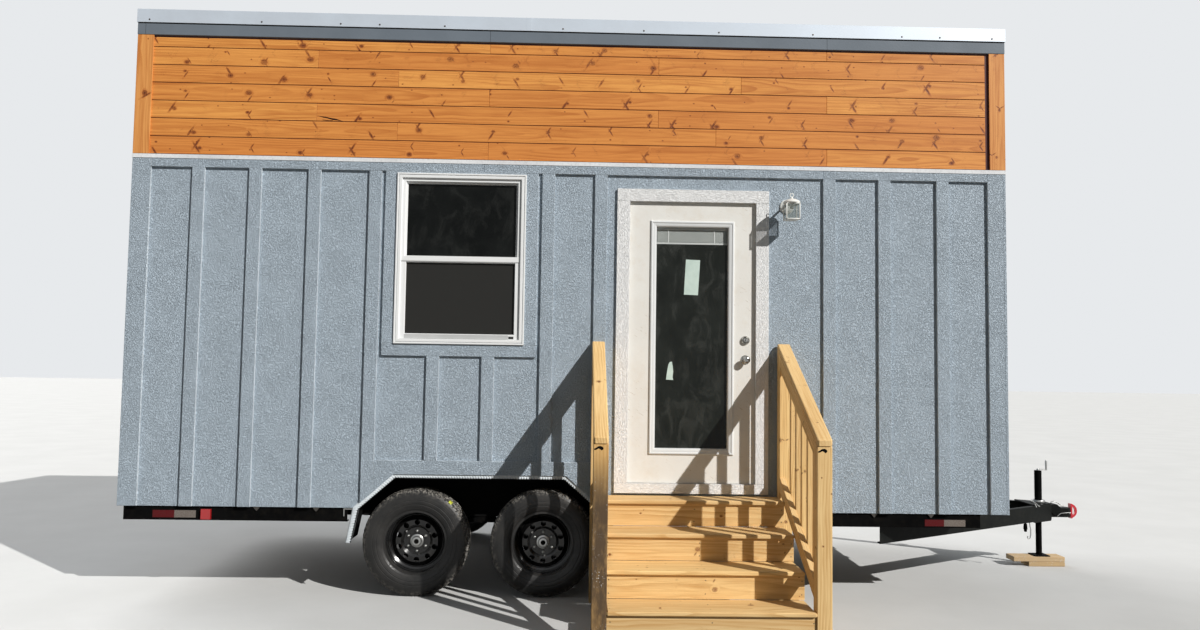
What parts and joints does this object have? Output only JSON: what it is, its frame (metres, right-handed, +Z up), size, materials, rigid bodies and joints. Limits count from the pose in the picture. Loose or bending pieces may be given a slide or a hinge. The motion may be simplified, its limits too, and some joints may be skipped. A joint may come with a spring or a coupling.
{
  "type": "tiny house on a trailer",
  "caption": "Small board-and-batten house with a wood band, a glazed door, a window and wooden steps, on a tandem-axle trailer with a tongue and jack.",
  "frame": {"origin": "middle of the whole object's box at ground level", "axes": "+X towards the hitch, -Y faces the door side, +Z up"},
  "size_m": [7.428, 3.663, 4.112],
  "materials": {
    "black_steel": "black, satin",
    "siding": "painted wood siding, satin",
    "stained_wood": "stained, semi-gloss",
    "flashing": "white, satin",
    "lock_red": "red, gloss",
    "blind": "white slats",
    "white_trim": "painted white, satin",
    "glass": "clear",
    "nickel": "satin nickel",
    "door_paint": "warm white, satin",
    "fascia_metal": "satin",
    "floor_wood": "plain sheet",
    "block_wood": "weathered timber",
    "jack_steel": "black, satin",
    "lantern_white": "white gloss",
    "roof_metal": "satin sheet metal",
    "lamp_red": "red lens",
    "pine": "bare treated pine",
    "tyre": "black rubber",
    "fender_paint": "grey over tread plate",
    "rim": "black gloss",
    "vinyl": "white vinyl",
    "screen": "insect mesh"
  },
  "bodies": {
    "house": {"axles": "black_steel", "back_battens": "siding", "back_cladding": "stained_wood", "back_wall": "siding", "belt_flashing": "flashing", "cladding_corners": "stained_wood", "coupler": "black_steel", "coupler_lock": "lock_red", "cross_members": "black_steel", "door_casing": "white_trim", "door_frame": "white_trim", "end_battens": "siding", "end_cladding": "stained_wood", "end_walls": "siding", "fascia": "fascia_metal", "floor": "floor_wood", "frame_rails": "black_steel", "front_battens": "siding", "front_cladding": "stained_wood", "front_wall_header": "siding", "front_wall_left": "siding", "front_wall_right": "siding", "jack_blocks": "block_wood", "jack_tube": "jack_steel", "lantern": "lantern_white", "lantern_glass": "glass", "leaf_springs": "black_steel", "roof_deck": "floor_wood", "roof_sheets": "roof_metal", "roof_trim": "roof_metal", "side_lamps": "lamp_red", "spring_hangers": "black_steel", "stair_balusters": "pine", "stair_posts": "pine", "stair_rails": "pine", "stair_risers": "pine", "stair_stringers": "pine", "stair_treads": "pine", "tongue": "black_steel", "wheel_boxes": "fender_paint", "window_frames": "vinyl", "window_glass": "glass", "window_screens": "screen"},
    "door": {"door_slab": "door_paint", "door_lite_frame": "door_paint", "door_glass": "glass", "door_blind": "blind", "door_lock": "nickel", "door_hinges": "nickel"},
    "knob": {"door_knob": "nickel"},
    "jack_leg": {"jack_leg": "jack_steel"},
    "jack_crank": {"jack_crank": "jack_steel"},
    "wheel_right_rear": {"tyre_right_rear": "tyre", "wheel_right_rear": "rim"},
    "wheel_right_front": {"tyre_right_front": "tyre", "wheel_right_front": "rim"},
    "wheel_left_rear": {"tyre_left_rear": "tyre", "wheel_left_rear": "rim"},
    "wheel_left_front": {"tyre_left_front": "tyre", "wheel_left_front": "rim"}
  },
  "joints": [
    {"name": "door_swing", "type": "hinge", "parent": "house", "child": "door", "pos_m": [-0.1955, -0.6705, 1.8], "axis": [0, 0, 1], "range_deg": [0, 95]},
    {"name": "knob_turn", "type": "hinge", "parent": "door", "child": "knob", "pos_m": [0.645, -0.679, 1.679], "axis": [0, 1, 0], "range_deg": [-50, 50], "stiffness_Nm_per_rad": 0.3},
    {"name": "jack_lift", "type": "slide", "parent": "house", "child": "jack_leg", "axis": [0, 0, 1], "range_m": [0, 0.24]},
    {"name": "jack_crank_turn", "type": "hinge", "parent": "house", "child": "jack_crank", "pos_m": [3.386, 0.5365, 0.792], "axis": [0, 0, 1], "continuous": true},
    {"name": "wheel_roll_right_rear", "type": "hinge", "parent": "house", "child": "wheel_right_rear", "pos_m": [-1.6575, -0.5715, 0.372], "axis": [0, 1, 0], "continuous": true},
    {"name": "wheel_roll_right_front", "type": "hinge", "parent": "house", "child": "wheel_right_front", "pos_m": [-0.7685, -0.5715, 0.372], "axis": [0, 1, 0], "continuous": true},
    {"name": "wheel_roll_left_rear", "type": "hinge", "parent": "house", "child": "wheel_left_rear", "pos_m": [-1.6575, 1.6445, 0.372], "axis": [0, 1, 0], "continuous": true},
    {"name": "wheel_roll_left_front", "type": "hinge", "parent": "house", "child": "wheel_left_front", "pos_m": [-0.7685, 1.6445, 0.372], "axis": [0, 1, 0], "continuous": true}
  ]
}
